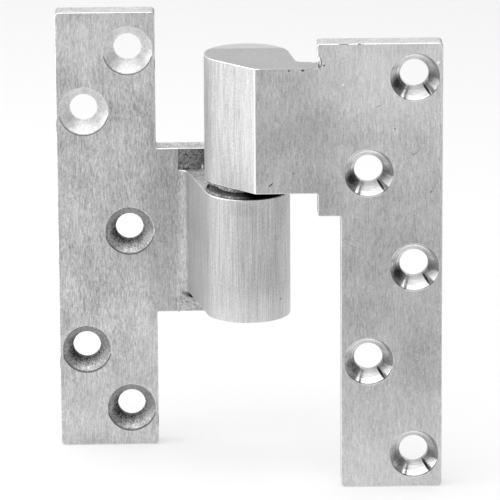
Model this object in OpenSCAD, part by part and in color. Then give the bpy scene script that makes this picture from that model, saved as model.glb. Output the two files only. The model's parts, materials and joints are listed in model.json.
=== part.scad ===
// Offset intermediate pivot hinge for a heavy door, opened flat.
// The frame leaf and the door leaf each carry one knuckle of a shared vertical pin.
// Frame: the pin's axis is the Z axis, Z = 0 is the bottom edge of both leaves,
// X runs along the leaves and the faces with the countersinks look towards -Y.

/* [Leaves] */
// Height of both leaves
leaf_h = 127; // [122:0.5:160]
// Width of each leaf
leaf_w = 28; // [26:0.1:40]
// Thickness of each leaf
leaf_t = 7; // [6.2:0.1:9]
// Radius of the leaves' outer corners
leaf_corner_r = 1.2; // [0.4:0.1:3]
// Radius left in each inside corner of a leaf's outline
inner_corner_r = 0.6; // [0.3:0.1:1.2]

/* [Pivot offset] */
// Pin axis to the face of the door leaf
door_offset = 19.05; // [17:0.05:26]
// Space between the two leaf faces when the door is closed
closed_gap = 3.2; // [2:0.1:5]
// Pin axis to the inner edge of each leaf
leaf_setback = 25.4; // [24.5:0.1:32]
// Pin axis to the line where the door leaf enters its mortise
mortise_x = 19.05; // [18.6:0.05:21]
// How far the mortised part of the door leaf hangs below its knuckle
mortise_drop = 6.5; // [2:0.1:12]

/* [Knuckles] */
// Outer diameter of both knuckles
barrel_d = 23.8; // [23.2:0.1:27]
// Height of each knuckle
knuckle_h = 35.4; // [32:0.1:37]
// Thickness of the arm that joins the door knuckle to its leaf
arm_t = 8; // [6.5:0.1:9]
// Where the door knuckle's flat side meets the leaf's face, past the pin axis
door_heel_x = 1.8; // [0:0.1:5]
// Where the frame knuckle's flat side meets the leaf's back, past the pin axis
frame_heel_x = 1.8; // [0:0.1:5]
// Angle at which the door knuckle's filleted side slants, in degrees
door_lean_angle = 8; // [2:0.5:12]
// Angle at which the frame knuckle's filleted side slants, in degrees
frame_lean_angle = 12; // [5:0.5:14]
// Fillet where the door knuckle's arm turns into its plate
door_fillet_r = 2.5; // [1:0.1:3]
// Fillet between the frame knuckle and the leaf's face
frame_fillet_r = 3.2; // [1:0.1:4]
// Plate left above and below the frame knuckle
shoulder_h = 6.3; // [3:0.1:12]
// Pin axis to the line where the cutter that cleared those shoulders stopped
mill_stop_x = 19; // [17.5:0.1:20]
// How far that cutter ran into the plate
mill_sink = 0.3; // [0.1:0.05:1]
// Cutter radius in the inside corner above the door knuckle
relief_r = 1.9; // [1:0.1:2.5]
// How far that cutter ran into the mortised part
relief_depth = 1; // [0.3:0.1:1.5]
// How far that cutter ran into the top of the door knuckle's arm
relief_sink = 0.2; // [0.1:0.05:0.5]

/* [Screw holes] */
// Diameter of the screw holes
hole_d = 7.9; // [6:0.1:8.5]
// Diameter of the countersinks at the face
csk_d = 13.7; // [12:0.1:15]
// Included angle of the countersinks, in degrees
csk_angle = 82; // [80:1:100]
// Depth that the countersinks are sunk below the face
csk_recess = 1.5; // [0.5:0.1:2.2]
// Hole centres to the leaf's long edges
hole_inset = 7.7; // [7:0.1:9]
// Frame leaf's ends to the first and last of the three holes next to its inner edge
frame_three_end = 11.1; // [9:0.1:18]
// Frame leaf's ends to the two holes next to its outer edge
frame_two_end = 28.6; // [26:0.1:40]
// Door leaf's ends to the first and last of the three holes next to its outer edge
door_three_end = 9.5; // [8:0.1:16]
// Door leaf's ends to the two holes next to its inner edge
door_two_end = 36.5; // [24:0.1:42]

/* [Pin and bushing] */
// Diameter of the pin
pin_d = 9.525; // [8:0.025:12.5]
// Length of pin pressed into the frame knuckle
pin_seat = 28; // [20:0.5:29]
// Length of pin inside the door knuckle
pin_reach = 28; // [20:0.5:29]
// Chamfer on both ends of the pin
pin_chamfer = 1; // [0.4:0.1:2]
// Wall of the bushing
bushing_wall = 1.6; // [1:0.1:2]
// Radial clearance between the pin and the bushing
running_clearance = 0.03; // [0.02:0.01:0.08]
// Free depth above the pin in the door knuckle
bore_end_space = 2; // [0.5:0.5:2.5]

/* [Thrust bearing] */
// Thickness of each race
race_t = 0.8; // [0.6:0.1:1.2]
// How far the races stay inside the knuckles' outline
race_inset = 0.5; // [0.2:0.1:1]
// Radial clearance between the races and the pin
race_clearance = 0.15; // [0.05:0.05:0.5]
// Diameter of the needle rollers
roller_d = 1.9; // [1.5:0.1:2.5]
// Length of the needle rollers
roller_l = 2.2; // [2:0.1:4]
// Number of needle rollers
roller_count = 12; // [8:1:13]
// Clearance between the rollers and each race
roller_play = 0.05; // [0.03:0.01:0.1]
// Thickness of the cage
cage_t = 1.4; // [0.8:0.1:1.4]
// Clearance between the cage's inside and the pin
cage_clearance = 0.3; // [0.2:0.1:0.8]
// Wall of the cage inside and outside the rollers
cage_wall = 0.45; // [0.4:0.05:0.6]
// Clearance around each roller in its pocket
pocket_clearance = 0.1; // [0.05:0.01:0.15]

/* [Hidden] */
$fn = 96;

// Cutting tools reach this far past the faces that they cut
over = 1;
// Curves and flats that run into each other cross by this much, and don't only touch
tuck = 0.01;
barrel_r = barrel_d / 2;
hole_r = hole_d / 2;
csk_r = csk_d / 2;
pin_r = pin_d / 2;
mid_z = leaf_h / 2;
frame_offset = door_offset + closed_gap;
leaf_end_x = leaf_setback + leaf_w;
csk_cone_h = (csk_r - hole_r) / tan(csk_angle / 2);

// Heights, from the frame knuckle in the middle of its leaf upwards
bearing_h = 2 * race_t + roller_d + 2 * roller_play;
frame_knuckle_z = mid_z - knuckle_h / 2;
frame_knuckle_top = frame_knuckle_z + knuckle_h;
door_knuckle_z = frame_knuckle_top + bearing_h;
door_knuckle_top = door_knuckle_z + knuckle_h;
bearing_mid_z = frame_knuckle_top + bearing_h / 2;

// Bushing and bearing radii
bushing_in_r = pin_r + running_clearance;
bushing_out_r = bushing_in_r + bushing_wall;
race_in_r = pin_r + race_clearance;
race_out_r = barrel_r - race_inset;
cage_in_r = pin_r + cage_clearance;
roller_in_r = cage_in_r + cage_wall + pocket_clearance;
cage_out_r = roller_in_r + roller_l + pocket_clearance + cage_wall;

// Point where a line from p touches a circle round the axis, on the side of +1 or -1
function touch_point(p, r, side) =
    let (a = atan2(p.y, p.x), b = acos(r / norm(p)))
    r * [cos(a + side * b), sin(a + side * b)];

// Point where the slanted side leaves the barrel
function side_top(r, lean) = r * [cos(lean), sin(lean)];

// Sharp corner of the slanted side and the plate surface at depth near
function side_corner(r, lean, near) =
    let (p = side_top(r, lean))
    [p.x + (p.y + near) * tan(lean), -near];

// Plate in the XZ plane with rounded corners, its face at y0 and its back at y0 + t
module plate(x0, x1, z0, z1, y0, t, r) {
    w = x1 - x0;
    h = z1 - z0;
    translate([x0, y0, z0]) {
        translate([r, 0, 0]) cube([w - 2 * r, t, h]);
        translate([0, 0, r]) cube([w, t, h - 2 * r]);
        for (x = [r, w - r], z = [r, h - r])
            translate([x, 0, z]) rotate([-90, 0, 0]) cylinder(r = r, h = t);
    }
}

// Small fillet in an inside corner of an outline in the XZ plane.
// quarter 0 fills towards +X and +Z, and each further one turns it by 90 degrees
module corner_fill(x, z, quarter, y0, t) {
    r = inner_corner_r;
    translate([x, y0, z]) rotate([0, -90 * quarter, 0]) difference() {
        cube([r, t, r]);
        translate([r, -over, r]) rotate([-90, 0, 0]) cylinder(r = r, h = t + 2 * over);
    }
}

// Sunk countersink and screw hole, from a face at y0 through a leaf
module screw_hole(x, z, y0) {
    translate([x, y0, z]) rotate([-90, 0, 0]) {
        translate([0, 0, -over]) cylinder(r = csk_r, h = csk_recess + over);
        translate([0, 0, csk_recess]) cylinder(r1 = csk_r, r2 = hole_r, h = csk_cone_h);
        translate([0, 0, csk_recess]) cylinder(r = hole_r, h = leaf_t + over);
    }
}

// Countersunk holes in a zigzag: three at x_three and two at x_two
module screw_holes(x_three, three_end, x_two, two_end, y0) {
    for (z = [three_end, mid_z, leaf_h - three_end]) screw_hole(x_three, z, y0);
    for (z = [two_end, leaf_h - two_end]) screw_hole(x_two, z, y0);
}

// Barrel with its arm and plate, as one upright profile.
// The plate lies between the depths near and far in front of the axis and runs to x = reach.
// One side is flat from the barrel to the heel, the other slants into a fillet.
module knuckle_profile(z, h, near, far, reach, heel_x, lean, fillet_r) {
    heel = [heel_x, -far];
    top = side_top(barrel_r - tuck, lean);
    corner = side_corner(barrel_r - tuck, lean, near);
    run = fillet_r / tan(45 + lean / 2);
    centre = corner + [run, fillet_r];
    translate([0, 0, z]) {
        cylinder(r = barrel_r, h = h);
        difference() {
            linear_extrude(h) polygon([[0, 0], touch_point(heel, barrel_r - tuck, -1), heel,
                [reach, -far], [reach, -near], corner + [run, 0], centre,
                corner + run * [-sin(lean), cos(lean)], top]);
            translate([centre.x, centre.y, -over]) cylinder(r = fillet_r + tuck, h = h + 2 * over);
        }
    }
}

// Profile of the frame leaf's knuckle, which stands in front of its plate
module frame_profile(z, h) {
    rotate([0, 0, 180]) knuckle_profile(z, h, frame_offset, frame_offset + leaf_t,
        leaf_setback, -frame_heel_x, frame_lean_angle, frame_fillet_r);
}

// Plate behind the frame knuckle, with the knuckle milled away above and below it.
// The cutter ran a little into the plate
module frame_shoulders() {
    z = frame_knuckle_z - shoulder_h;
    h = knuckle_h + 2 * shoulder_h;
    sunk_y = frame_offset + mill_sink;
    intersection() {
        frame_profile(z, h);
        union() {
            translate([-leaf_setback, frame_offset, z])
                cube([leaf_setback - mill_stop_x, leaf_t, h]);
            translate([-leaf_setback, sunk_y, z])
                cube([leaf_setback + barrel_d, leaf_t - mill_sink, h]);
        }
    }
}

// Leaf on the door frame, with the lower knuckle
module frame_leaf() {
    color([0.76, 0.76, 0.77]) difference() {
        union() {
            plate(-leaf_end_x, -leaf_setback, 0, leaf_h, frame_offset, leaf_t, leaf_corner_r);
            frame_profile(frame_knuckle_z, knuckle_h);
            frame_shoulders();
            corner_fill(-leaf_setback, frame_knuckle_top + shoulder_h, 0, frame_offset, leaf_t);
            corner_fill(-leaf_setback, frame_knuckle_z - shoulder_h, 3, frame_offset, leaf_t);
        }
        screw_holes(-leaf_setback - hole_inset, frame_three_end,
            -leaf_end_x + hole_inset, frame_two_end, frame_offset);
        translate([0, 0, frame_knuckle_top - pin_seat]) cylinder(r = pin_r, h = pin_seat + over);
    }
}

// Leaf on the door, with the upper knuckle and the notch above its arm
module door_leaf() {
    color([0.80, 0.80, 0.81]) difference() {
        union() {
            plate(leaf_setback, leaf_end_x, 0, leaf_h, -door_offset, leaf_t, leaf_corner_r);
            plate(mortise_x, leaf_end_x - 2 * leaf_corner_r, door_knuckle_z - mortise_drop, leaf_h,
                -door_offset, leaf_t, inner_corner_r);
            knuckle_profile(door_knuckle_z, knuckle_h, door_offset - arm_t, door_offset,
                mortise_x, door_heel_x, door_lean_angle, door_fillet_r);
            corner_fill(leaf_setback, door_knuckle_z - mortise_drop, 2, -door_offset, leaf_t);
            corner_fill(mortise_x, door_knuckle_z, 2, -door_offset, leaf_t);
        }
        screw_holes(leaf_end_x - hole_inset, door_three_end,
            leaf_setback + hole_inset, door_two_end, -door_offset);
        translate([0, 0, door_knuckle_z - over])
            cylinder(r = bushing_out_r, h = pin_reach + bore_end_space + over);
        translate([mortise_x + relief_depth - relief_r, -door_offset - over,
            door_knuckle_top - relief_sink + relief_r])
            rotate([-90, 0, 0]) cylinder(r = relief_r, h = arm_t + 2 * over);
    }
}

// Steel pin, pressed into the frame knuckle
module pivot_pin() {
    z = frame_knuckle_top - pin_seat;
    h = pin_seat + bearing_h + pin_reach;
    end_r = pin_r - pin_chamfer;
    color([0.70, 0.71, 0.73]) translate([0, 0, z]) rotate_extrude()
        polygon([[0, 0], [end_r, 0], [pin_r, pin_chamfer], [pin_r, h - pin_chamfer], [end_r, h], [0, h]]);
}

// Flat ring round the axis
module ring(in_r, out_r, z, h) {
    translate([0, 0, z]) difference() {
        cylinder(r = out_r, h = h);
        translate([0, 0, -over]) cylinder(r = in_r, h = h + 2 * over);
    }
}

// Bronze sleeve, pressed into the door knuckle
module knuckle_bushing() {
    color([0.69, 0.53, 0.30]) ring(bushing_in_r, bushing_out_r, door_knuckle_z, pin_reach);
}

// Hardened race on top of the frame knuckle
module lower_race() {
    color([0.52, 0.52, 0.53]) ring(race_in_r, race_out_r, frame_knuckle_top, race_t);
}

// Hardened race under the door knuckle
module upper_race() {
    color([0.52, 0.52, 0.53]) ring(race_in_r, race_out_r, door_knuckle_z - race_t, race_t);
}

// Cage with one radial pocket for each roller
module needle_cage() {
    length = roller_l + 2 * pocket_clearance;
    width = roller_d + 2 * pocket_clearance;
    color([0.45, 0.45, 0.46]) difference() {
        ring(cage_in_r, cage_out_r, bearing_mid_z - cage_t / 2, cage_t);
        for (i = [0 : roller_count - 1]) rotate([0, 0, 360 * i / roller_count])
            translate([roller_in_r - pocket_clearance, -width / 2, bearing_mid_z - cage_t])
            cube([length, width, 2 * cage_t]);
    }
}

// Needle rollers, which lie radially between the races
module needle_rollers() {
    color([0.66, 0.67, 0.69]) for (i = [0 : roller_count - 1]) rotate([0, 0, 360 * i / roller_count])
        translate([roller_in_r, 0, bearing_mid_z]) rotate([0, 90, 0])
        cylinder(d = roller_d, h = roller_l, $fn = 24);
}

frame_leaf();
door_leaf();
pivot_pin();
knuckle_bushing();
lower_race();
upper_race();
needle_cage();
needle_rollers();
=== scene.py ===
"""Finishes, fine detail and studio for the offset pivot hinge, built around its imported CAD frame.

The frame gives every size and place. The two leaves and the bearing's cage are merged copies of their CAD
solids with broken edges, and each face of a leaf gets the finish of the tool that made it. The bearing's
races and rollers are turned profiles on numpy grids. The pin and the bushing stay as they are in the CAD.
"""

from __future__ import annotations

import json
import logging
import math
from dataclasses import dataclass, field, replace
from enum import Enum, IntEnum
from functools import cache
from typing import Any

import bmesh
import bpy
import numpy as np
from bpy.types import ID, Material, Node, NodeSocket, NodeTree, Object, World
from mathutils import Matrix, Vector

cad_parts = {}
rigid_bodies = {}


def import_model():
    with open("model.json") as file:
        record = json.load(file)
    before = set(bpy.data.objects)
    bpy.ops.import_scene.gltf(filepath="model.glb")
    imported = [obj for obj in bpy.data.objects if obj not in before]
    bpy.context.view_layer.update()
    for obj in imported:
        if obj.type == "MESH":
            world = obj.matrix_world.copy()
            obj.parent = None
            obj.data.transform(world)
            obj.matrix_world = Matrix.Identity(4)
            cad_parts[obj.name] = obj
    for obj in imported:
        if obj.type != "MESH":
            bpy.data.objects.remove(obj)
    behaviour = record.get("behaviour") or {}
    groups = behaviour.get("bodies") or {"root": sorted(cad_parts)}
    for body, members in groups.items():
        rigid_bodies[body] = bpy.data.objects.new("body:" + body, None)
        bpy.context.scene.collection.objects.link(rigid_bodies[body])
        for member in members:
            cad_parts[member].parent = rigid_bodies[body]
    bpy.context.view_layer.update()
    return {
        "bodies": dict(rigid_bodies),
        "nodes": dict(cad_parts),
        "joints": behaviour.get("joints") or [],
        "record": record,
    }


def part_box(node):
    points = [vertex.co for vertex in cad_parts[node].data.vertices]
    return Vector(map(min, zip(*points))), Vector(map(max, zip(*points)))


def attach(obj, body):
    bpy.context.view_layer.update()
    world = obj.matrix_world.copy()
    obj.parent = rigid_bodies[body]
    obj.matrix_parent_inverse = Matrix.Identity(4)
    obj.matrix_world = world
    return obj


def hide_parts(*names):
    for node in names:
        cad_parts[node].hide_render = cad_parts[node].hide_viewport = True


LOG = logging.getLogger("pivot_hinge")
MM = 0.001
# Attribute on the leaves: distance from the nearest screw hole's axis in mm, then cosine and sine of the
# angle round that axis
ROUND_HOLE = "round_hole"


class Lay(Enum):
    """Direction of the marks that a tool left on a face."""

    UPRIGHT = "lines along the pin's axis, from belt grinding"
    TURNED = "rings round a screw hole's axis, from a countersink"
    NONE = "no direction, from milling, blasting or sintering"


# === Colours and nodes ===


def linear(hex_colour: str) -> tuple[float, float, float, float]:
    """Turns an sRGB hex colour into linear RGBA.

    A level of up to 0.04045 is divided by 12.92. A higher one gets 0.055 more, is divided by 1.055 and
    raised to the power of 2.4.

    Args:
        hex_colour: Six hex digits, with or without a leading #.

    Returns:
        Linear red, green and blue, and an alpha of 1.
    """
    digits = hex_colour.lstrip("#")
    levels = np.array([int(digits[i : i + 2], 16) for i in (0, 2, 4)]) / 255
    rgb = np.where(levels <= 0.04045, levels / 12.92, ((levels + 0.055) / 1.055) ** 2.4)
    return (*rgb.tolist(), 1.0)


def empty_tree(owner: Material | World) -> NodeTree:
    """Turns on the nodes of a material or world.

    Args:
        owner: The material or world.

    Returns:
        Its node tree, emptied.
    """
    owner.use_nodes = True
    owner.node_tree.nodes.clear()
    return owner.node_tree


def add(tree: NodeTree, kind: str, settings: dict[str, Any] | None = None, **inputs: Any) -> Node:
    """Adds a node with its settings and links.

    Args:
        tree: Node tree that gets the node.
        kind: Node type, without the ShaderNode in front.
        settings: Properties of the node.
        **inputs: Values or sockets for its inputs. A name is the input's name with _ for a space, or
            i0, i1 and so on for an input by number.

    Returns:
        The new node.
    """
    node = tree.nodes.new("ShaderNode" + kind)
    for key, value in (settings or {}).items():
        setattr(node, key, value)
    for key, value in inputs.items():
        by_number = key[0] == "i" and key[1:].isdigit()
        socket = node.inputs[int(key[1:]) if by_number else key.replace("_", " ")]
        if isinstance(value, NodeSocket):
            tree.links.new(value, socket)
        else:
            socket.default_value = value
    return node


# === Finishes ===

# A spot has faded out at this many of its half sizes from its middle
SPOT_FADE = 1.1
# Values of the noise between which its shade fades out, and its gloss changes
SHADE_FADE = (0.34, 0.66)
GLOSS_FADE = (0.3, 0.7)
# Roughness that is added in the marks and taken off between them
GLOSS_SWING = 0.05
# Distance from the axis half way down a countersink, where the run of its marks holds
CONE_MIDDLE_MM = 5.4
# Painted shade in a countersink lies deepest to the lower left of its bore: it fades out between two
# values of its ROUND_HOLE attribute's dot product with BORE_SHADE_PULL
BORE_SHADE_PULL = (1.0, 0.5, 0.8)
BORE_SHADE_FADE = (2.4, 5.4)


@dataclass(frozen=True)
class Marks:
    """One layer of tool marks.

    Args:
        width_mm: Width of one mark.
        run_mm: Length of one mark along the lay.
        weight: Its share of the finish's marks.
    """

    width_mm: float
    run_mm: float
    weight: float


@dataclass(frozen=True)
class Spot:
    """A dent, scratch, nick, painted glint, painted highlight, painted shade or painted sheen: a soft-edged
    ellipsoid laid over a finish.

    Args:
        place_mm: Its middle, in the frame's axes.
        size_mm: Its full sizes along X, Y and Z before it is turned.
        turn_deg: Turn from +X towards +Z.
        tone: sRGB hex colour.
        strength: How much of the tone shows at its middle, from 0 to 1.
        core: Share of its size inside which the tone is full.
    """

    place_mm: tuple[float, float, float]
    size_mm: tuple[float, float, float]
    turn_deg: float = 0.0
    tone: str = "#303030"
    strength: float = 0.85
    core: float = 0.5

    def lay_over(self, tree: NodeTree, place: Node, colour: NodeSocket) -> NodeSocket:
        """Lays the spot over a colour.

        The point's place in the spot's own axes, divided by its half sizes, has a length of 1 on its edge.

        Args:
            tree: Node tree of the material.
            place: Its Texture Coordinate node.
            colour: Socket with the colour so far.

        Returns:
            Socket with the new colour.
        """
        at = add(
            tree,
            "Mapping",
            {"vector_type": "TEXTURE"},
            Vector=place.outputs["Object"],
            Location=[c * MM for c in self.place_mm],
            Rotation=(0.0, -math.radians(self.turn_deg), 0.0),
            Scale=[c * MM / 2 for c in self.size_mm],
        ).outputs[0]
        reach = add(tree, "VectorMath", {"operation": "LENGTH"}, i0=at).outputs["Value"]
        core, most, tone = self.core, self.strength, linear(self.tone)
        mask = add(tree, "MapRange", Value=reach, From_Min=core, From_Max=SPOT_FADE, To_Min=most, To_Max=0.0)
        mixed = add(tree, "Mix", {"data_type": "RGBA"}, i0=mask.outputs[0], i6=colour, i7=tone)
        return mixed.outputs[2]


@dataclass(frozen=True)
class SteelFinish:
    """A bare metal face: its colour, its gloss and the marks of the tool that made it.

    Args:
        name: The metal and how its surface was made.
        colour: sRGB hex colour of the clean metal.
        shade: sRGB hex colour in the bottoms of the marks.
        marks: Layers of tool marks.
        roughness: Its middle roughness: the marks have a little more, and what lies between them less.
        lay: Direction of the marks.
        anisotropy: How far highlights are drawn out across the marks.
        contrast: How much of the shade shows in the marks, from 0 to 1.
        depth_mm: Depth of the marks.
        blotch_mm: Size of the broad patches in which the finish varies.
        blotch: Strength of those patches, from 0 to 1.
        painted_bore_shade: How much painted shade lies round a screw hole's bore, deepest to its lower left.
        spots: Dents, scratches and nicks, and patches of painted shade, painted sheen and painted glints.
    """

    name: str
    colour: str
    shade: str
    marks: tuple[Marks, ...]
    roughness: float = 0.5
    lay: Lay = Lay.NONE
    anisotropy: float = 0.0
    contrast: float = 1.0
    depth_mm: float = 0.02
    blotch_mm: float = 3.0
    blotch: float = 0.1
    painted_bore_shade: float = 0.0
    spots: tuple[Spot, ...] = ()

    def build(self) -> Material:
        """Makes the material.

        Returns:
            A metal whose colour, roughness and height follow noise stretched along the lay.
        """
        material = bpy.data.materials.new(self.name)
        tree = empty_tree(material)
        place = add(tree, "TexCoord")
        height = self.height(tree, place)
        share = self.shaded_share(tree, place, height)
        clean, shade = linear(self.colour), linear(self.shade)
        colour = add(tree, "Mix", {"data_type": "RGBA"}, i0=share, i6=clean, i7=shade).outputs[2]
        for spot in self.spots:
            colour = spot.lay_over(tree, place, colour)
        low, high = GLOSS_FADE
        dull, bright = self.roughness + GLOSS_SWING, self.roughness - GLOSS_SWING
        gloss = add(tree, "MapRange", Value=height, From_Min=low, From_Max=high, To_Min=dull, To_Max=bright)
        bump = add(tree, "Bump", Height=height, Strength=1.0, Distance=self.depth_mm * MM)
        shader = add(
            tree,
            "BsdfPrincipled",
            Base_Color=colour,
            Metallic=1.0,
            Roughness=gloss.outputs[0],
            Normal=bump.outputs[0],
            Anisotropic=self.anisotropy,
        )
        if self.anisotropy:
            tree.links.new(self.across_marks(tree, place), shader.inputs["Tangent"])
        add(tree, "OutputMaterial", Surface=shader.outputs[0])
        return material

    def height(self, tree: NodeTree, place: Node) -> NodeSocket:
        """Height of the tool marks: the weighted sum of one stretched noise for each layer.

        Args:
            tree: Node tree of the material.
            place: Its Texture Coordinate node.

        Returns:
            Socket with a value of about 0.5 between the marks and less in them.
        """
        total: NodeSocket | float = 0.0
        for layer in self.marks:
            across, along = 1 / layer.width_mm, 1 / layer.run_mm
            if self.lay is Lay.TURNED:
                source = add(tree, "Attribute", {"attribute_name": ROUND_HOLE}).outputs["Vector"]
                stretch = (across, CONE_MIDDLE_MM * along, CONE_MIDDLE_MM * along)
            else:
                source = place.outputs["Object"]
                stretch = (across / MM, across / MM, along / MM)
            at = add(tree, "Mapping", Vector=source, Scale=stretch).outputs[0]
            noise = add(tree, "TexNoise", Vector=at, Scale=1.0, Detail=2.5, Roughness=0.6)
            sum_of = {"operation": "MULTIPLY_ADD"}
            total = add(tree, "Math", sum_of, i0=noise.outputs["Fac"], i1=layer.weight, i2=total).outputs[0]
        return total

    def shaded_share(self, tree: NodeTree, place: Node, height: NodeSocket) -> NodeSocket:
        """Share of the shade at each point: the sum of what marks, broad patches and painted bore shade
        give.

        Args:
            tree: Node tree of the material.
            place: Its Texture Coordinate node.
            height: Socket with the height of the marks.

        Returns:
            Socket with the share, from 0 to 1.
        """
        at, scale = place.outputs["Object"], 1 / (self.blotch_mm * MM)
        patches = add(tree, "TexNoise", Vector=at, Scale=scale, Detail=2.0, Roughness=0.5).outputs["Fac"]
        parts = [(height, *SHADE_FADE, self.contrast), (patches, *SHADE_FADE, self.blotch)]
        # Painted shade round a screw hole's bore, deepest to its lower left
        if self.painted_bore_shade:
            from_hole = add(tree, "Attribute", {"attribute_name": ROUND_HOLE}).outputs["Vector"]
            dot = {"operation": "DOT_PRODUCT"}
            toward_shade = add(tree, "VectorMath", dot, i0=from_hole, i1=BORE_SHADE_PULL).outputs["Value"]
            parts.append((toward_shade, *BORE_SHADE_FADE, self.painted_bore_shade))
        total: NodeSocket | float = 0.0
        for value, start, end, most in parts:
            share = add(tree, "MapRange", Value=value, From_Min=start, From_Max=end, To_Min=most, To_Max=0.0)
            summed = {"operation": "ADD", "use_clamp": True}
            total = add(tree, "Math", summed, i0=share.outputs[0], i1=total).outputs[0]
        return total

    def across_marks(self, tree: NodeTree, place: Node) -> NodeSocket:
        """Direction on the face across the marks, along which highlights are drawn out.

        Upright lines: the face's normal crossed with Z. Rings round a hole: the normal crossed with the
        ring's own direction, which is the normal crossed with Y.

        Args:
            tree: Node tree of the material.
            place: Its Texture Coordinate node.

        Returns:
            Socket with the direction in the scene's axes.
        """
        normal = place.outputs["Normal"]
        axis = (0.0, 1.0, 0.0) if self.lay is Lay.TURNED else (0.0, 0.0, 1.0)
        turned = {"operation": "CROSS_PRODUCT"}
        side = add(tree, "VectorMath", turned, i0=normal, i1=axis).outputs[0]
        if self.lay is Lay.TURNED:
            side = add(tree, "VectorMath", turned, i0=normal, i1=side).outputs[0]
        spin = {"vector_type": "VECTOR", "convert_from": "OBJECT", "convert_to": "WORLD"}
        return add(tree, "VectorTransform", spin, Vector=side).outputs[0]


# Depth of each leaf's face with the countersinks, in mm
DOOR_Y = -19.05
FRAME_Y = 22.25
# Painted shade on the bearing under the door's arm and knuckle, between the knuckles, where they overhang it
PAINTED_GAP_SHADE = Spot((9.0, -8.0, 83.0), (24.0, 40.0, 24.0), tone="#0C0C0C", strength=1.0, core=0.7)

# Stainless steel, belt-ground upright with a worn belt: short streaks and a grain that catch light
# sideways. A real grinding line is about 0.05 mm wide, and is drawn 0.25 mm and more to show. The face has
# painted sheen near its ends, and painted shade at mid height and on the extension beside the knuckle.
GROUND_FRAME = SteelFinish(
    name="stainless_steel_ground_frame_leaf",
    colour="#E8E8E8",
    shade="#8A8A8A",
    roughness=0.42,
    marks=(Marks(0.28, 1.6, 0.55), Marks(0.35, 0.5, 0.3), Marks(0.9, 9.0, 0.15)),
    lay=Lay.UPRIGHT,
    anisotropy=0.75,
    contrast=0.8,
    depth_mm=0.012,
    blotch_mm=12.0,
    blotch=0.2,
    spots=(
        # Painted sheen near the ends of the face, then painted shade at mid height and on the extension
        Spot((-43.0, FRAME_Y, 8.0), (60.0, 8.0, 44.0), tone="#FFFFFF", strength=0.16, core=0.2),
        Spot((-27.0, FRAME_Y, 28.0), (20.0, 8.0, 44.0), tone="#FFFFFF", strength=0.10, core=0.2),
        Spot((-40.0, FRAME_Y, 122.0), (60.0, 8.0, 40.0), tone="#FFFFFF", strength=0.16, core=0.2),
        Spot((-24.0, FRAME_Y, 64.0), (12.0, 8.0, 70.0), tone="#606060", strength=0.26, core=0.5),
        Spot((-33.0, FRAME_Y, 60.0), (22.0, 8.0, 24.0), tone="#606060", strength=0.12, core=0.2),
    ),
)
# The same steel and belt on the frame's knuckle: long fine lines and marks of handling, with painted shade
# below its top and across its middle and right side, and painted sheen on its lower part.
GROUND_KNUCKLE = replace(
    GROUND_FRAME,
    name="stainless_steel_ground_frame_knuckle",
    colour="#E5E5E5",
    shade="#8E8E8E",
    roughness=0.4,
    marks=(Marks(0.3, 14.0, 0.6), Marks(0.3, 0.6, 0.4)),
    contrast=0.72,
    depth_mm=0.010,
    blotch_mm=18.0,
    blotch=0.1,
    spots=(
        Spot((7.9, -8.9, 69.7), (3.0, 3.0, 2.2), 20, strength=0.12),
        Spot((9.0, -7.7, 51.6), (1.2, 1.2, 0.6), -20, strength=0.5),
        # Painted shade below its top and across its middle and right side, then painted sheen low down
        Spot((-3.0, -12.0, 78.5), (13.0, 4.0, 5.0), tone="#808080", strength=0.2),
        Spot((1.5, -11.5, 66.0), (11.0, 8.0, 50.0), tone="#707070", strength=0.22, core=0.3),
        Spot((6.0, -10.0, 62.0), (10.0, 8.0, 16.0), tone="#707070", strength=0.15, core=0.1),
        Spot((0.0, -8.0, 42.0), (60.0, 40.0, 26.0), tone="#FFFFFF", strength=0.3, core=0.2),
    ),
)
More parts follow.
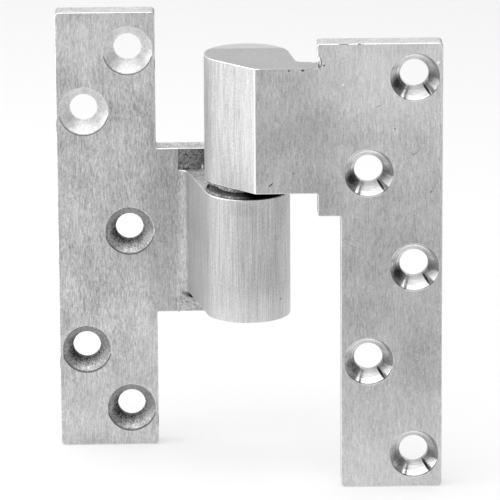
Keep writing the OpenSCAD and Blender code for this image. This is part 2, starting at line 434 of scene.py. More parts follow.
# The same steel and belt on the door leaf: finer strokes and the dents of handling. It has painted sheen
# near its ends, painted shade at mid height, on the arm and in the notch's relief, and painted glints on
# three marks.
GROUND_DOOR = replace(
    GROUND_FRAME,
    name="stainless_steel_ground_door_leaf",
    colour="#E4E4E4",
    shade="#969696",
    marks=(Marks(0.27, 1.8, 0.5), Marks(0.35, 0.4, 0.35), Marks(0.8, 14.0, 0.15)),
    contrast=0.75,
    blotch_mm=11.0,
    blotch=0.22,
    spots=(
        # Painted sheen near the ends, then painted shade on the arm and at mid height
        Spot((41.0, DOOR_Y, 122.0), (70.0, 8.0, 44.0), tone="#FFFFFF", strength=0.26, core=0.2),
        Spot((40.0, DOOR_Y, 2.0), (70.0, 8.0, 60.0), tone="#FFFFFF", strength=0.22, core=0.2),
        Spot((11.0, DOOR_Y, 96.0), (40.0, 8.0, 60.0), tone="#606060", strength=0.25, core=0.4),
        Spot((42.0, DOOR_Y, 56.0), (70.0, 8.0, 104.0), tone="#606060", strength=0.24, core=0.3),
        Spot((6.1, DOOR_Y, 87.4), (2.0, 0.8, 0.5), 42),
        Spot((12.3, DOOR_Y, 90.6), (0.8, 0.8, 0.45), 20, strength=0.6),
        Spot((11.2, DOOR_Y, 119.6), (0.7, 1.6, 0.6)),
        Spot((15.0, DOOR_Y, 119.7), (1.1, 1.6, 0.9)),
        # Painted shade in the notch's relief
        Spot((19.3, DOOR_Y + 2.0, 122.0), (0.9, 7.0, 4.6), tone="#202020", strength=0.9, core=0.8),
        Spot((20.8, DOOR_Y, 121.0), (0.7, 0.8, 0.6)),
        Spot((40.2, DOOR_Y, 103.0), (0.7, 0.8, 0.5), strength=0.6),
        Spot((50.2, DOOR_Y, 85.0), (1.0, 0.8, 0.5), 30, strength=0.6),
        Spot((35.6, DOOR_Y, 109.4), (2.2, 0.8, 0.4), 30, strength=0.4),
        Spot((45.7, DOOR_Y, 95.9), (2.0, 0.8, 0.35), 20, strength=0.45),
        Spot((45.2, DOOR_Y, 95.6), (1.8, 0.8, 0.35), 110, strength=0.35),
        Spot((46.6, DOOR_Y, 96.6), (1.2, 0.8, 0.35), 65, strength=0.35),
        # Painted glints on three small marks
        Spot((26.0, DOOR_Y, 115.6), (0.7, 0.8, 0.5), 90, "#FFFFFF"),
        Spot((25.8, DOOR_Y, 107.0), (0.7, 0.8, 0.4), 90, "#FFFFFF", 0.4),
        Spot((52.0, DOOR_Y, 121.5), (1.3, 0.8, 0.9), 40, "#FFFFFF"),
        Spot((31.3, DOOR_Y, 126.9), (1.2, 0.8, 0.6)),
    ),
)
# The same steel and belt on the door's knuckle, with longer strokes. Its paler colour and a patch on its
# flat side are painted sheen, and it has painted shade on its left, where it turns round, and low at its
# front.
GROUND_FLAT = replace(
    GROUND_DOOR,
    name="stainless_steel_ground_door_knuckle",
    colour="#F2F2F2",
    shade="#A4A4A4",
    marks=(Marks(0.27, 6.0, 0.4), Marks(0.3, 0.5, 0.4), Marks(0.8, 20.0, 0.2)),
    contrast=0.9,
    blotch=0.1,
    spots=(
        # Painted sheen on the flat side, then painted shade on the left and low at the front
        Spot((1.0, DOOR_Y + 1.5, 102.0), (8.0, 12.0, 50.0), tone="#FFFFFF", strength=0.25, core=0.1),
        Spot((-12.5, -4.0, 102.0), (10.0, 18.0, 60.0), tone="#505050", strength=0.28, core=0.3),
        Spot((-4.0, -12.0, 84.0), (30.0, 20.0, 18.0), tone="#707070", strength=0.25, core=0.2),
    ),
)
# Stainless steel bar end, sawn and linished: bright and granular.
SAWN_END = SteelFinish(
    name="stainless_steel_sawn_bar_end",
    colour="#FAFAFA",
    shade="#B0B0B0",
    marks=(Marks(0.5, 0.5, 0.6), Marks(1.6, 1.6, 0.4)),
    contrast=0.8,
    blotch_mm=8.0,
    blotch=0.15,
)
# Stainless steel knuckle end, faced on a mill: an even fine grain, and a paler band along its back.
FACED_END = SteelFinish(
    name="stainless_steel_faced_knuckle_end",
    colour="#D0D0D0",
    shade="#A8A8A8",
    roughness=0.42,
    marks=(Marks(0.35, 0.35, 0.7), Marks(1.2, 1.2, 0.3)),
    contrast=0.6,
    depth_mm=0.008,
    blotch_mm=10.0,
    blotch=0.15,
    spots=(Spot((0.0, 16.2, 120.2), (120.0, 20.0, 3.0), tone="#E0E0E0", strength=0.8, core=1.0),),
)
# Stainless steel knuckle end under the bearing, faced with a coarse cutter: pale, with crossing marks. Its
# white colour is partly painted sheen that lifts the shade under the door's knuckle.
FACED_SEAT = SteelFinish(
    name="stainless_steel_faced_bearing_seat",
    colour="#FFFFFF",
    shade="#A0A0A0",
    marks=(Marks(0.5, 0.5, 0.6), Marks(1.0, 1.0, 0.4)),
    contrast=0.9,
    blotch=0.3,
)
# Stainless steel left as milled: dull and mottled. Its dark colour is partly painted shade from the door's
# knuckle in front of it, with more painted shade towards the knuckle and a painted glint on one nick.
MILLED = SteelFinish(
    name="stainless_steel_milled_pocket",
    colour="#B8B8B8",
    shade="#4A4A4A",
    marks=(Marks(0.4, 0.4, 0.7), Marks(1.0, 1.0, 0.3)),
    depth_mm=0.05,
    blotch_mm=6.0,
    spots=(
        # Painted shade towards the knuckle, then a painted glint on a nick
        Spot((-12.0, FRAME_Y, 84.0), (9.0, 4.0, 12.0), strength=0.45, core=0.1),
        Spot((-12.3, FRAME_Y, 82.0), (0.7, 4.0, 1.8), 0, "#FFFFFF", 0.8, 0.4),
    ),
)
# The same cut below the knuckle: paler, without the upper pocket's painted shade, and with painted shade at
# its top.
MILLED_PALE = replace(
    MILLED,
    name="stainless_steel_milled_pocket_lower",
    colour="#E8E8E8",
    shade="#909090",
    roughness=0.45,
    marks=(Marks(0.4, 0.4, 0.6), Marks(1.0, 0.6, 0.4)),
    depth_mm=0.03,
    blotch_mm=4.0,
    spots=(
        # Painted shade at the top of the lower pocket
        Spot((-16.6, FRAME_Y, 44.5), (4.0, 4.0, 2.0), -20, strength=0.8, core=0.3),
        Spot((-15.9, FRAME_Y, 44.0), (2.0, 4.0, 1.0), -30, tone="#181818", strength=0.9, core=0.4),
    ),
)
# Stainless steel cut by a countersink: bright rings with wedge-shaped highlights.
COUNTERSUNK_BRIGHT = SteelFinish(
    name="stainless_steel_countersunk_bright",
    colour="#FFFFFF",
    shade="#606060",
    roughness=0.21,
    marks=(Marks(0.3, 16.0, 0.85), Marks(0.7, 7.0, 0.15)),
    lay=Lay.TURNED,
    anisotropy=0.9,
    contrast=0.6,
    depth_mm=0.007,
    blotch_mm=2.5,
    blotch=0.05,
)
# Stainless steel countersink dulled by blasting: pale, soft and even.
COUNTERSUNK_PALE = SteelFinish(
    name="stainless_steel_countersunk_blasted",
    colour="#FFFFFF",
    shade="#BCBCBC",
    marks=(Marks(0.3, 0.6, 0.6), Marks(0.6, 0.8, 0.4)),
    lay=Lay.TURNED,
    anisotropy=0.3,
    contrast=0.6,
    blotch_mm=2.5,
    blotch=0.2,
)
# Stainless steel countersink left grey from the cut, with painted shade round the bore, deepest to its lower
# left.
COUNTERSUNK_GREY = replace(
    COUNTERSUNK_PALE,
    name="stainless_steel_countersunk_grey",
    colour="#E8E8E8",
    shade="#424242",
    marks=(Marks(0.3, 0.4, 0.7), Marks(0.6, 0.8, 0.3)),
    blotch_mm=3.0,
    blotch=0.15,
    painted_bore_shade=0.85,
)
# Stainless steel edge broken with a file: a thin bright line. Each leaf's painted highlights, painted shade,
# painted rim reflections and nicks go over it.
BROKEN_EDGE = SteelFinish(
    name="stainless_steel_broken_edge",
    colour="#FFFFFF",
    shade="#888888",
    roughness=0.45,
    marks=(Marks(0.35, 0.5, 1.0),),
    contrast=0.35,
    depth_mm=0.003,
    blotch_mm=5.0,
)
# Bearing steel, hardened: grey and speckled, with painted shade where the door's knuckle overhangs it and a
# painted contact shadow at its outer left edge.
RACE_STEEL = SteelFinish(
    name="bearing_steel_hardened_painted_shade",
    colour="#D0D0D0",
    shade="#404040",
    roughness=0.75,
    marks=(Marks(0.4, 0.4, 0.8), Marks(1.0, 1.0, 0.2)),
    blotch_mm=2.5,
    blotch=0.2,
    # Painted shade under the door's knuckle, then a painted contact shadow at the race's outer left edge
    spots=(PAINTED_GAP_SHADE, Spot((-11.0, 1.0, 81.8), (1.4, 7.0, 2.0), tone="#101010", strength=0.9, core=0.5)),
)
# Bearing steel, centreless ground: bright rollers and pin.
GROUND_STEEL = SteelFinish(
    name="bearing_steel_centreless_ground",
    colour="#E0E0E0",
    shade="#B0B0B0",
    roughness=0.2,
    marks=(Marks(0.3, 0.3, 1.0),),
    contrast=0.3,
    depth_mm=0.002,
    blotch_mm=6.0,
)
# Steel strip, pressed: the roller cage, with flecks of dried grease, and painted shade where the door's
# knuckle overhangs it.
CAGE_STEEL = SteelFinish(
    name="steel_strip_pressed_greased",
    colour="#FFFFFF",
    shade="#3C3C3C",
    marks=(Marks(0.4, 0.4, 1.0),),
    blotch=0.2,
    spots=(PAINTED_GAP_SHADE,),
)
# Bronze powder, pressed and sintered, filled with oil: brown and porous.
SINTERED_BRONZE = SteelFinish(
    name="bronze_sintered_oil_filled",
    colour="#B08D57",
    shade="#5E4628",
    roughness=0.48,
    marks=(Marks(0.25, 0.25, 1.0),),
    contrast=0.8,
    depth_mm=0.01,
    blotch_mm=2.0,
    blotch=0.3,
)


@cache
def material_of(finish: SteelFinish) -> Material:
    """The material of a finish, made once."""
    return finish.build()


# === Meshes ===


# Corners of a CAD mesh that lie nearer than this are one
DOUBLES_MM = 0.002
# Faces that meet at less than this lie in one plane, and edges of more than the second are broken
FLAT_DEG = 0.5
SHARP_DEG = 25


def placed(name: str, data: ID) -> Object:
    """Makes an object at the origin and links it to the scene.

    Args:
        name: The object's name.
        data: Its mesh, lamp or camera.

    Returns:
        The new object.
    """
    made = bpy.data.objects.new(name, data)
    bpy.context.scene.collection.objects.link(made)
    return made


def new_piece(name: str, points: np.ndarray, faces: list[list[int]]) -> Object:
    """Makes an object at the origin from points in the frame's axes.

    Args:
        name: The piece's name.
        points: Points in metres, one row each.
        faces: Corner numbers of each face.

    Returns:
        The new object, smooth-shaded.
    """
    mesh = bpy.data.meshes.new(name)
    mesh.from_pydata(points.tolist(), [], faces)
    mesh.validate()
    mesh.polygons.foreach_set("use_smooth", np.ones(len(mesh.polygons), bool))
    return placed(name, mesh)


def merged_copy(node: Object, name: str) -> Object:
    """Copies a CAD mesh with its doubles merged and its flat faces joined.

    Args:
        node: The CAD node's object.
        name: The new piece's name.

    Returns:
        The new piece.
    """
    solid = bmesh.new()
    solid.from_mesh(node.data)
    bmesh.ops.remove_doubles(solid, verts=solid.verts, dist=DOUBLES_MM * MM)
    flat = math.radians(FLAT_DEG)
    bmesh.ops.dissolve_limit(
        solid, angle_limit=flat, verts=solid.verts, edges=solid.edges, delimit={"NORMAL"}
    )
    mesh = bpy.data.meshes.new(name)
    solid.to_mesh(mesh)
    solid.free()
    mesh.polygons.foreach_set("use_smooth", np.ones(len(mesh.polygons), bool))
    return placed(name, mesh)


def break_edges(piece: Object, width_mm: float, finish: int, shares: np.ndarray | None = None) -> None:
    """Breaks a piece's sharp outward edges with a bevel that follows their weights.

    Args:
        piece: The piece.
        width_mm: Width of the broken edges.
        finish: Number of the material on them.
        shares: Share of the width for each edge, or None for the whole width on each.
    """
    solid = bmesh.new()
    solid.from_mesh(piece.data)
    layer = solid.edges.layers.float.new("bevel_weight_edge")
    if shares is None:
        shares = np.ones(len(solid.edges))
    for edge, share in zip(solid.edges, shares):
        if edge.is_manifold and edge.calc_face_angle() > math.radians(SHARP_DEG):
            edge.smooth = False
            if edge.is_convex and share > 0:
                edge[layer] = share
    solid.to_mesh(piece.data)
    solid.free()
    bevel = piece.modifiers.new("broken_edges", "BEVEL")
    bevel.limit_method = "WEIGHT"
    bevel.width = width_mm * MM
    bevel.segments = 2
    bevel.use_clamp_overlap = False
    bevel.harden_normals = True
    bevel.miter_outer = "MITER_ARC"
    bevel.material = finish


def revolve(profile: np.ndarray, steps: int, capped: bool = False) -> tuple[np.ndarray, list[list[int]]]:
    """Turns a profile round the Z axis.

    The point for profile row (r, z) and angle a is (r cos a, r sin a, z). The grid closes on itself round
    the axis. Along the profile it closes too, or ends in two flat caps.

    Args:
        profile: Rows of radius and height, counter-clockwise seen with r to the right and z up.
        steps: Number of steps round the axis.
        capped: Whether the first and last rows are closed with flat caps.

    Returns:
        The points and the faces, which look outwards.
    """
    angle = np.linspace(0, 2 * np.pi, steps, endpoint=False)[:, None]
    rows = len(profile)
    r, z = profile[:, 0][None, :], profile[:, 1][None, :]
    points = np.stack([r * np.cos(angle), r * np.sin(angle), np.broadcast_to(z, (steps, rows))], -1)
    i, j = np.meshgrid(np.arange(steps), np.arange(rows - 1 if capped else rows), indexing="ij")
    i2, j2 = (i + 1) % steps, (j + 1) % rows
    quads = np.stack([i * rows + j, i2 * rows + j, i2 * rows + j2, i * rows + j2], -1)
    faces = quads.reshape(-1, 4).tolist()
    if capped:
        first = np.arange(steps) * rows
        faces += [first[::-1].tolist(), (first + rows - 1).tolist()]
    return points.reshape(-1, 3), faces


def rounded_section(r0: float, r1: float, z0: float, z1: float, edge: float, steps: int) -> np.ndarray:
    """Rectangle in radius and height with its four corners rounded.

    Each corner is a quarter circle of the edge's radius about a point that far inside the corner.

    Args:
        r0: Inner radius.
        r1: Outer radius.
        z0: Lower height.
        z1: Upper height.
        edge: Radius of the corners.
        steps: Steps in each quarter circle.

    Returns:
        Rows of radius and height, counter-clockwise.
    """
    right, left, low, high = r1 - edge, r0 + edge, z0 + edge, z1 - edge
    middle = np.array([(right, low), (right, high), (left, high), (left, low)])
    turn = np.radians(np.array([-90, 0, 90, 180])[:, None] + np.linspace(0, 90, steps + 1)[None, :])
    bend = edge * np.stack([np.cos(turn), np.sin(turn)], -1)
    return (middle[:, None, :] + bend).reshape(-1, 2)


def dress(piece: Object, node: str, body: str, slot: str, *finishes: SteelFinish) -> None:
    """Puts a piece in the place of a CAD node.

    Args:
        piece: The piece.
        node: The CAD node.
        body: CAD body that it rides on.
        slot: Not used.
        *finishes: Its finishes, in the order of its materials.
    """
    for finish in finishes:
        piece.data.materials.append(material_of(finish))
    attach(piece, body)
    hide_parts(node)
    LOG.info("%s: %d faces, rides on %s", piece.name, len(piece.data.polygons), body)


def points_of(node: Object) -> np.ndarray:
    """Reads the points of an object's mesh.

    Args:
        node: The object.

    Returns:
        One row for each point, in metres.
    """
    flat = np.empty(len(node.data.vertices) * 3)
    node.data.vertices.foreach_get("co", flat)
    return flat.reshape(-1, 3)


# === Leaves ===


def screw_holes(frame: dict[str, Any], prefix: str) -> np.ndarray:
    """Centres of a leaf's screw holes, from the record's bolt patterns.

    A line of two holes has one hole half its spacing below its centre and one as far above.

    Args:
        prefix: Start of the names of the leaf's mounts.

    Returns:
        X and Z of each hole, in metres, with no hole twice.
    """
    rows = []
    for mount in frame["record"]["mounts"]:
        if mount["kind"] == "bolt_pattern" and mount["name"].startswith(prefix):
            x, _, z = mount["pos_m"]
            half = mount["dims"]["spacing_y_mm"] * MM / 2
            rows += [(round(x, 6), round(z - half, 6)), (round(x, 6), round(z + half, 6))]
    return np.array(sorted(set(rows)))


class Cut(IntEnum):
    """Number of each finish among a leaf's materials, apart from the last, which is its broken edges."""

    GROUND = 0
    CONE = 1
    UPPER_CONE = 2
    SAWN = 3
    FACED = 4
    MILLED = 5
    MILLED_LOW = 6
    KNUCKLE = 7


# Least share of an axis in the normal of a face that is square to it, level, or looks along it
SQUARE = 0.99
LEVEL = 0.95
ALONG = 0.9
# Faces nearer than this to a leaf's end, a hole's rim or its main face count as belonging to it, in mm
CLOSE_MM = 0.1
# The knuckles with their flats lie inside this distance from the pin's axis, in mm
KNUCKLE_REACH_MM = 19.0
# The shallow cuts above and below the frame's knuckle: their greatest depths at the floor and at the wall
# beside it, the height that parts the two, and the place of the lower one's wall, whose edge isn't broken
FLOOR_DEEP_MM = 1.0
WALL_DEEP_MM = 0.5
POCKET_SPLIT_MM = 60.0
LOW_WALL_X_MM = (-19.5, -13.0)
LOW_WALL_TOP_MM = 46.0
# The edge between a countersink and its bore lies this far and more inside the rim, in mm
BORE_INSIDE_MM = 0.3
# The painted reflection on a hole's rim: its width, its thickness and the height it loses for each mm that
# it drops
RIM_WIDE_MM = 15.0
RIM_THICK_MM = 4.0
RIM_SHORTER = 1.25
# Painted reflections in a countersink, by their places from its axis at the face: a dark one on the left, a
# greyer one on the upper right, and a bright and a dark wedge below. A cone's middle is 3.2 mm deep
PAINTED_DARK_REFLECTION = Spot((-4.8, 3.2, -2.5), (4.8, 12.0, 6.0), -25, "#101010", 1.0, 0.3)
PAINTED_WEDGE_REFLECTIONS = (
    Spot((4.3, 3.2, 3.2), (7.5, 12.0, 6.5), -45, "#585858", 0.4, 0.3),
    Spot((-2.8, 3.2, -4.6), (4.4, 12.0, 0.7), 59, "#FFFFFF", 1.0, 0.8),
    Spot((3.4, 3.2, -4.2), (4.0, 12.0, 0.8), -51, "#101010", 0.95, 0.6),
)


@dataclass
class Leaf:
    """One leaf with its knuckle, machined from one piece.

    Args:
        node: CAD node that it dresses.
        body: CAD body that it rides on.
        face_y_mm: Depth of the face with the countersinks.
        ground: Finish of the ground faces.
        knuckle: Finish of the ground faces of its knuckle.
        cones: Finish of the countersinks up to split_z_mm.
        upper_cones: Finish of the countersinks above it.
        seat: Finish of its knuckle's ends.
        painted_rim_tone: sRGB hex colour of the painted reflection on the holes' rims.
        rim_drop_mm: How far its middle lies below the hole's axis.
        cone_reflection: Strength of the painted dark reflection in the countersinks above split_z_mm, with
            half of it in those below. At 0 they have none of it and no painted wedges.
        split_z_mm: Height that parts the two kinds of countersinks.
        csk_r_mm: Radius of the countersinks at the face.
        edge_mm: Width of the broken outer edges.
        hole_edge_mm: Width of the broken edges of the screw holes at the face.
        edge_spots: Painted highlights and painted shade on the broken edges, and nicks in them.
        holes: X and Z of its screw holes' axes, in metres, which build reads from the record.
    """

    node: str
    body: str
    face_y_mm: float
    ground: SteelFinish
    knuckle: SteelFinish
    cones: SteelFinish
    upper_cones: SteelFinish
    seat: SteelFinish
    painted_rim_tone: str
    rim_drop_mm: float
    cone_reflection: float = 0.0
    split_z_mm: float = 85.0
    csk_r_mm: float = 6.85
    edge_mm: float = 0.22
    hole_edge_mm: float = 0.08
    edge_spots: tuple[Spot, ...] = ()
    holes: np.ndarray = field(init=False, repr=False, compare=False)

    def build(self, frame: dict[str, Any]) -> None:
        """Makes the dressed leaf.
        """
        self.holes = screw_holes(frame, self.body + "_")
        piece = merged_copy(frame["nodes"][self.node], self.node + "_dressed")
        dress(piece, self.node, self.body, "leaf_steel", *self.finishes())
        self.assign(piece)
        self.map_holes(piece)
        break_edges(piece, self.edge_mm, len(Cut), self.edge_shares(piece))

    def finishes(self) -> tuple[SteelFinish, ...]:
        """Lists the leaf's finishes.

        Returns:
            Those of Cut in its order, and then that of the broken edges.
        """
        cones = (self.cones, self.upper_cones)
        # Painted reflections in the countersinks
        if self.cone_reflection:
            marks = self.painted_cone_reflections()
            cones = tuple(replace(cone, name=cone.name + "_painted_reflections", spots=marks) for cone in cones)
        spots = (*self.edge_spots, *self.painted_rims())
        edge = replace(BROKEN_EDGE, name=f"{BROKEN_EDGE.name}_{self.body}", spots=spots)
        return (self.ground, *cones, SAWN_END, self.seat, MILLED, MILLED_PALE, self.knuckle, edge)

    def painted_rims(self) -> tuple[Spot, ...]:
        """Paints reflections on the holes' rims with spots a little wider than a rim, and shorter where they
        lie low.

        Returns:
            One spot for each hole.
        """
        size = (RIM_WIDE_MM, RIM_THICK_MM, RIM_WIDE_MM - RIM_SHORTER * self.rim_drop_mm)
        places = [(x, self.face_y_mm, z - self.rim_drop_mm) for x, z in self.holes / MM]
        return tuple(Spot(place, size, tone=self.painted_rim_tone, core=0.98) for place in places)

    def painted_cone_reflections(self) -> tuple[Spot, ...]:
        """Lays the painted reflections in the countersinks: their places plus that of each hole.

        Returns:
            The dark reflection and the painted wedges of each hole in turn.
        """
        marks = []
        for x, z in self.holes / MM:
            dark_reflection_strength = self.cone_reflection if z > self.split_z_mm else 0.5 * self.cone_reflection
            for mark in (replace(PAINTED_DARK_REFLECTION, strength=dark_reflection_strength), *PAINTED_WEDGE_REFLECTIONS):
                dx, dy, dz = mark.place_mm
                marks.append(replace(mark, place_mm=(x + dx, self.face_y_mm + dy, z + dz)))
        return tuple(marks)

    def edge_shares(self, piece: Object) -> np.ndarray:
        """Share of the broken edges' width on each edge.

        An edge has the whole width, less on the screw holes' rims, and none inside the holes or on the wall
        of the cut below the knuckle.

        Args:
            piece: The leaf's piece.

        Returns:
            One share for each edge of its mesh.
        """
        ends = np.empty(len(piece.data.edges) * 2, np.int32)
        piece.data.edges.foreach_get("vertices", ends)
        middle = points_of(piece)[ends.reshape(-1, 2)].mean(axis=1)
        reach = np.linalg.norm(self.from_hole(middle), axis=1)
        rim = reach < (self.csk_r_mm + CLOSE_MM) * MM
        share = np.where(rim, self.hole_edge_mm / self.edge_mm, 1.0)
        share[reach < (self.csk_r_mm - BORE_INSIDE_MM) * MM] = 0.0
        x, y, z = middle.T / MM
        wall = (x > LOW_WALL_X_MM[0]) & (x < LOW_WALL_X_MM[1]) & (z < LOW_WALL_TOP_MM)
        share[wall & (np.abs(y - self.face_y_mm) < WALL_DEEP_MM)] = 0.0
        return share

    def from_hole(self, points: np.ndarray) -> np.ndarray:
        """Finds where points lie from the nearest screw hole's axis.

        Args:
            points: Rows of X, Y and Z, in metres.

        Returns:
            Rows of X and Z from that axis, in metres.
        """
        flat = points[:, [0, 2]][:, None, :] - self.holes[None, :, :]
        nearest = np.linalg.norm(flat, axis=2).argmin(axis=1)
        return flat[np.arange(len(points)), nearest]

    def assign(self, piece: Object) -> None:
        """Gives each face the finish of the tool that made it.

        Args:
            piece: The leaf's piece.
        """
        mesh = piece.data
        count = len(mesh.polygons)
        centre, normal = np.empty(count * 3), np.empty(count * 3)
        mesh.polygons.foreach_get("center", centre)
        mesh.polygons.foreach_get("normal", normal)
        centre, normal = centre.reshape(-1, 3) / MM, normal.reshape(-1, 3)
        x, y, z = centre.T
        low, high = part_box(self.node)
        level = np.abs(normal[:, 2]) > LEVEL
        at_end = (z < low[2] / MM + CLOSE_MM) | (z > high[2] / MM - CLOSE_MM)
        hole = np.linalg.norm(self.from_hole(centre * MM), axis=1) < (self.csk_r_mm + CLOSE_MM) * MM
        hole &= (np.abs(normal[:, 1]) < SQUARE) & ~at_end
        depth = y - self.face_y_mm
        floor = (normal[:, 1] < -SQUARE) & (depth > CLOSE_MM) & (depth < FLOOR_DEEP_MM)
        wall = (normal[:, 0] > ALONG) & (depth > 0.0) & (depth < WALL_DEEP_MM) & (z < POCKET_SPLIT_MM)
        index = np.full(count, Cut.GROUND, np.int32)
        index[(np.hypot(x, y) < KNUCKLE_REACH_MM) & (np.abs(depth) > CLOSE_MM)] = Cut.KNUCKLE
        index[floor] = Cut.MILLED
        index[floor & (z < POCKET_SPLIT_MM)] = Cut.MILLED_LOW
        index[wall] = Cut.SAWN
        index[level & at_end] = Cut.SAWN
        index[level & ~at_end] = Cut.FACED
        index[hole] = Cut.CONE
        index[hole & (z > self.split_z_mm)] = Cut.UPPER_CONE
        mesh.polygons.foreach_set("material_index", index)
        mesh.update()

    def map_holes(self, piece: Object) -> None:
        """Writes the attribute that carries the turned marks round the screw holes.

        Args:
            piece: The leaf's piece.
        """
        mesh = piece.data
        corner_point = np.empty(len(mesh.loops), np.int32)
        mesh.loops.foreach_get("vertex_index", corner_point)
        away = self.from_hole(points_of(piece)[corner_point])
        reach = np.linalg.norm(away, axis=1)
        rows = np.column_stack([reach / MM, away / np.maximum(reach, 1e-9)[:, None]])
        attribute = mesh.attributes.new(ROUND_HOLE, "FLOAT_VECTOR", "CORNER")
        attribute.data.foreach_set("vector", rows.astype(np.float32).ravel())


# === Pin, bushing and thrust bearing ===


@dataclass
class ThrustBearing:
    """Two races with a caged ring of needle rollers between them.

    Args:
        edge_mm: Radius of the races' edges.
        cage_edge_mm: Width of the cage's broken edges.
        roller_edge_mm: Radius of the rollers' ends.
        steps: Steps round a race.
        roller_steps: Steps round a roller.
        edge_steps: Steps in the quarter circle of an edge.
        on_axis_mm: Points nearer than this to the X axis belong to the two rollers that lie on it.
        gap_deg: Least angle round the pin that parts two rollers.
    """

    edge_mm: float = 0.12
    cage_edge_mm: float = 0.06
    roller_edge_mm: float = 0.25
    steps: int = 128
    roller_steps: int = 24
    edge_steps: int = 3
    on_axis_mm: float = 0.2
    gap_deg: float = 6.0

    def build(self, frame: dict[str, Any]) -> None:
        """Makes the races, the cage and the rollers.
        """
        self.race(frame, "lower_race", "frame")
        self.race(frame, "upper_race", "door")
        cage = merged_copy(frame["nodes"]["needle_cage"], "needle_cage_pressed")
        break_edges(cage, self.cage_edge_mm, 0)
        dress(cage, "needle_cage", "bearing", "cage_steel", CAGE_STEEL)
        self.rollers(frame)

    def race(self, frame: dict[str, Any], node: str, body: str) -> None:
        """Makes a race with rounded edges, from the radii and heights of its CAD node.

        Args:
            node: The race's CAD node.
            body: CAD body that it rides on.
        """
        points = points_of(frame["nodes"][node])
        reach, z = np.hypot(points[:, 0], points[:, 1]), points[:, 2]
        sizes = (reach.min(), reach.max(), z.min(), z.max(), self.edge_mm * MM)
        section = rounded_section(*sizes, self.edge_steps)
        piece = new_piece(node + "_turned", *revolve(section, self.steps))
        dress(piece, node, body, "race_steel", RACE_STEEL)

    def rollers(self, frame: dict[str, Any]) -> None:
        """Makes the rollers, each a turned profile laid along a radius.

        The profile runs round one end's edge, along the roller and round the other end's edge. It is turned
        round Z, laid on its side with (x, y, z) to (z, x, y), and copied round the pin.
        """
        points = points_of(frame["nodes"]["needle_rollers"])
        reach = np.abs(points[np.abs(points[:, 1]) < self.on_axis_mm * MM][:, 0])
        z = points[:, 2]
        radius, start, end = (z.max() - z.min()) / 2, reach.min(), reach.max()
        bend = self.roller_edge_mm * MM
        turn = np.linspace(0, np.pi / 2, self.edge_steps + 1)
        foot = np.stack([radius - bend + bend * np.sin(turn), start + bend - bend * np.cos(turn)], -1)
        head = np.stack([foot[::-1, 0], start + end - foot[::-1, 1]], -1)
        one, faces = revolve(np.vstack([foot, head]), self.roller_steps, capped=True)
        lying = one[:, [2, 0, 1]] + np.array([0, 0, (z.max() + z.min()) / 2])
        count = self.count(points)
        angle = (np.arange(count) * 2 * np.pi / count)[:, None]
        x, y = lying[:, 0][None, :], lying[:, 1][None, :]
        heights = np.broadcast_to(lying[:, 2], (count, len(lying)))
        cos, sin = np.cos(angle), np.sin(angle)
        ring = np.stack([x * cos - y * sin, x * sin + y * cos, heights], -1)
        all_faces = [[corner + k * len(one) for corner in face] for k in range(count) for face in faces]
        piece = new_piece("needle_rollers_ground", ring.reshape(-1, 3), all_faces)
        dress(piece, "needle_rollers", "bearing", "roller_steel", GROUND_STEEL)

    def count(self, points: np.ndarray) -> int:
        """Number of rollers: the number of wide gaps between their points, seen from above."""
        angle = np.sort(np.degrees(np.arctan2(points[:, 1], points[:, 0])) % 360)
        return int((np.diff(np.append(angle, angle[0] + 360)) > self.gap_deg).sum())


@dataclass(frozen=True)
class Carried:
    """A CAD node that is kept as it is and gets a finish.

    Args:
        node: The CAD node.
        finish: Its finish.
    """

    node: str
    finish: SteelFinish

    def build(self, frame: dict[str, Any]) -> None:
        """Gives the node its material.
        """
        mesh = frame["nodes"][self.node].data
        mesh.materials.clear()
        mesh.materials.append(material_of(self.finish))
        LOG.info("%s: %s", self.node, self.finish.name)


# === Studio ===


@dataclass(frozen=True)
class Camera:
    """Camera at the object's usual catalogue view.

    Args:
        heading_deg: Turn of the view from +Y towards +X.
        dip_deg: How far it looks down.
        roll_deg: Turn about the line of sight.
        distance: Distance to the target, in metres.
        focal_share: Focal length as a share of the frame's width.
        target: Point at the frame's centre.
    """

    heading_deg: float = 0.992
    dip_deg: float = 15.592
    roll_deg: float = -0.353
    distance: float = 1.42442
    focal_share: float = 10.1944
    target: tuple[float, float, float] = (0.00062, 0.0, 0.06367)

    def build(self) -> None:
        """Makes the camera and makes it the scene's."""
        data = bpy.data.cameras.new("camera")
        data.sensor_width = 36.0
        data.lens = self.focal_share * data.sensor_width
        data.clip_start, data.clip_end = 0.01, 100.0
        camera = placed("camera", data)
        heading, dip, roll = (math.radians(v) for v in (self.heading_deg, self.dip_deg, self.roll_deg))
        flat = math.cos(dip)
        sight = Vector((math.sin(heading) * flat, math.cos(heading) * flat, -math.sin(dip)))
        level = Vector((math.cos(heading), -math.sin(heading), 0.0))
        above = level.cross(sight)
        right = level * math.cos(roll) + above * math.sin(roll)
        up = above * math.cos(roll) - level * math.sin(roll)
        place = Vector(self.target) - sight * self.distance
        turn = Matrix((right, up, -sight)).transposed()
        camera.matrix_world = Matrix.Translation(place) @ turn.to_4x4()
        bpy.context.scene.camera = camera


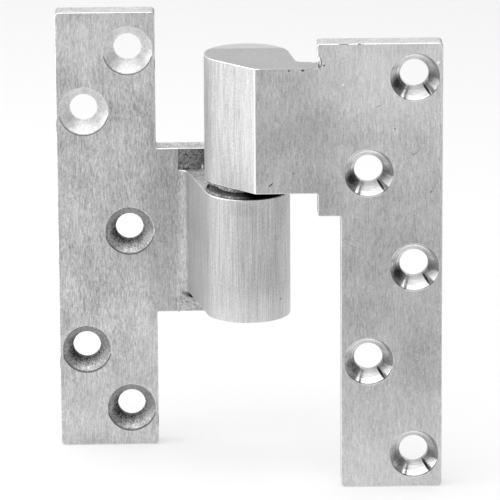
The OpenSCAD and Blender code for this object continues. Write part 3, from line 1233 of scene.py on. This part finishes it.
@dataclass(frozen=True)
class Softbox:
    """A rectangular soft lamp.

    Args:
        name: The lamp's name.
        place: Its centre, in metres.
        aim: Point that it faces.
        size: Width and height, in metres.
        level: Radiance, where 1 shows as white.
    """

    name: str
    place: tuple[float, float, float]
    aim: tuple[float, float, float]
    size: tuple[float, float]
    level: float

    def build(self) -> None:
        """Makes the lamp. A flat lamp of radiance L sends out pi L for each square metre."""
        data = bpy.data.lights.new(self.name, "AREA")
        data.shape = "RECTANGLE"
        data.size, data.size_y = self.size
        data.energy = math.pi * self.level * self.size[0] * self.size[1]
        lamp = placed(self.name, data)
        sight = Vector(self.aim) - Vector(self.place)
        turn = sight.to_track_quat("-Z", "Y").to_matrix().to_4x4()
        lamp.matrix_world = Matrix.Translation(self.place) @ turn
        lamp.visible_camera = False


LAMPS = (
    Softbox("left_high", (-0.85, -0.05, 0.31), (0.0, -0.05, 0.31), (0.9, 0.50), 4.6),
    Softbox("overhead", (-0.24, -0.25, 0.96), (-0.24, -0.25, 0.0), (1.48, 1.7), 2.6),
    Softbox("back", (0.0, 1.2, 0.52), (0.0, 0.0, 0.2), (2.4, 0.9), 0.75),
    Softbox("right_strip", (0.66, 0.0, 0.84), (0.0, 0.0, 0.06), (1.0, 0.12), 4.0),
    Softbox("right_low", (0.40, -0.30, 0.07), (0.0, -0.08, 0.07), (0.5, 0.12), 0.5),
    Softbox("front", (0.0, -1.1, 0.9), (0.0, -0.3, 0.0), (1.6, 0.6), 0.3),
)


@dataclass(frozen=True)
class Studio:
    """Pale paper floor, soft lamps and the world's even light.

    Args:
        floor_colour: sRGB hex colour of the paper.
        floor_size: Side of the floor, in metres.
        floor_gap_mm: Gap below the hinge, so that the two don't share a plane.
        world_level: Radiance of the world.
        seen_level: Radiance of the floor's glow.
    """

    floor_colour: str = "#A0A0A0"
    floor_size: float = 12.0
    floor_gap_mm: float = 0.1
    world_level: float = 0.04
    seen_level: float = 0.52

    def build(self) -> None:
        """Makes the floor, the world and the lamps."""
        half = self.floor_size / 2
        z = -self.floor_gap_mm * MM
        corners = np.array([(-half, -half, z), (half, -half, z), (half, half, z), (-half, half, z)])
        floor = new_piece("floor", corners, [[0, 1, 2, 3]])
        floor.data.materials.append(self.paper())
        world = bpy.data.worlds.new("studio")
        bpy.context.scene.world = world
        tree = empty_tree(world)
        air = add(tree, "Background", Color=(1, 1, 1, 1), Strength=self.world_level)
        add(tree, "OutputWorld", Surface=air.outputs[0])
        for lamp in LAMPS:
            lamp.build()

    def paper(self) -> Material:
        """Matt white paper with a glow that only the camera and reflections see: it doesn't light the hinge.

        Returns:
            The floor's material.
        """
        paper = bpy.data.materials.new("paper_matt_white")
        tree = empty_tree(paper)
        colour = linear(self.floor_colour)
        matt = add(tree, "BsdfPrincipled", Base_Color=colour, Roughness=0.9, Specular_IOR_Level=0.1)
        rays = add(tree, "LightPath").outputs
        either = {"operation": "MAXIMUM"}
        seen = add(tree, "Math", either, i0=rays["Is Camera Ray"], i1=rays["Is Glossy Ray"])
        level = add(tree, "Math", {"operation": "MULTIPLY"}, i0=seen.outputs[0], i1=self.seen_level)
        glow = add(tree, "Emission", Strength=level.outputs[0])
        both = add(tree, "AddShader", i0=matt.outputs[0], i1=glow.outputs[0])
        add(tree, "OutputMaterial", Surface=both.outputs[0])
        return paper


def main() -> None:
    """Builds the hinge's looks and the studio in order."""
    logging.basicConfig(level=logging.INFO, format="%(message)s")
    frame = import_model()
    bpy.context.scene.view_settings.view_transform = "Standard"
    Camera().build()
    Studio().build()
    Leaf(
        node="frame_leaf",
        body="frame",
        face_y_mm=FRAME_Y,
        ground=GROUND_FRAME,
        knuckle=GROUND_KNUCKLE,
        cones=COUNTERSUNK_GREY,
        upper_cones=COUNTERSUNK_PALE,
        seat=FACED_SEAT,
        # Painted dark reflection on the lower part of each rim
        painted_rim_tone="#101010",
        rim_drop_mm=4.0,
        # Painted highlight along the top edge of the frame's knuckle
        edge_spots=(Spot((-6.0, -6.0, 81.2), (30.0, 60.0, 2.0), tone="#F4F4F4", strength=1.0, core=0.9),),
        hole_edge_mm=0.2,
    ).build(frame)
    Leaf(
        node="door_leaf",
        body="door",
        face_y_mm=DOOR_Y,
        ground=GROUND_DOOR,
        knuckle=GROUND_FLAT,
        cones=COUNTERSUNK_BRIGHT,
        upper_cones=COUNTERSUNK_BRIGHT,
        seat=FACED_END,
        # Painted highlight on each rim
        painted_rim_tone="#E0E0E0",
        rim_drop_mm=1.0,
        # Painted dark reflection in the door's countersinks
        cone_reflection=0.9,
        split_z_mm=50.0,
        edge_spots=(
            # Painted highlight on the knuckle's corner line, painted shade on its top edge and in the
            # notch's relief, then two nicks
            Spot((1.8, DOOR_Y, 102.0), (3.0, 3.0, 80.0), tone="#FFFFFF", strength=1.0, core=1.0),
            Spot((11.0, DOOR_Y, 120.2), (17.0, 2.0, 2.0), tone="#A0A0A0", strength=0.8, core=0.9),
            Spot((20.2, DOOR_Y, 121.6), (2.4, 3.0, 3.6), tone="#202020", strength=0.9, core=0.8),
            Spot((30.5, DOOR_Y, 127.0), (1.0, 3.0, 2.0), tone="#202020", strength=0.9, core=0.6),
            Spot((26.2, DOOR_Y, 126.8), (3.2, 2.0, 1.6), tone="#505050", strength=0.8, core=0.6),
        ),
    ).build(frame)
    ThrustBearing().build(frame)
    Carried("pivot_pin", GROUND_STEEL).build(frame)
    Carried("knuckle_bushing", SINTERED_BRONZE).build(frame)


if __name__ == "__main__":
    main()
